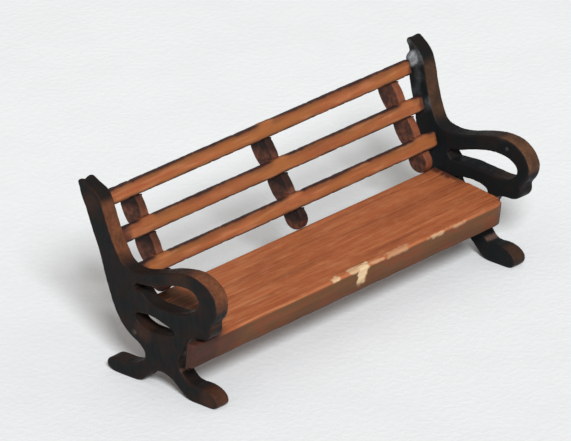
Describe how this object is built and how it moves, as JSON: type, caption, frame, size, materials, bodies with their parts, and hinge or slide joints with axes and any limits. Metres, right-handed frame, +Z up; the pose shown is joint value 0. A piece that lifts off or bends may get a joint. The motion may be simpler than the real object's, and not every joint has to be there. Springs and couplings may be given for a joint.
{
  "type": "park bench",
  "caption": "Miniature wooden park bench with dark scroll end frames, a tipped seat, raked back slats and scalloped back ribs.",
  "frame": {"origin": "middle of the footprint, on the surface that the bench stands on", "axes": "+X along the bench to the viewer's right when facing its front, -Y to the front, +Z up"},
  "size_m": [0.0728, 0.0268, 0.0299],
  "materials": {
    "black_painted_wood": "worn black paint, satin",
    "stained_wood": "orange-brown stain, satin",
    "dark_stained_wood": "dark reddish stain, matt"
  },
  "bodies": {
    "root": {"left_end_frame": "black_painted_wood", "right_end_frame": "black_painted_wood", "seat_board": "stained_wood", "seat_front_rail": "stained_wood", "back_slat_lower": "stained_wood", "back_slat_middle": "stained_wood", "back_slat_upper": "stained_wood", "back_rib_left": "dark_stained_wood", "back_rib_centre": "dark_stained_wood", "back_rib_right": "dark_stained_wood"}
  },
  "joints": []
}
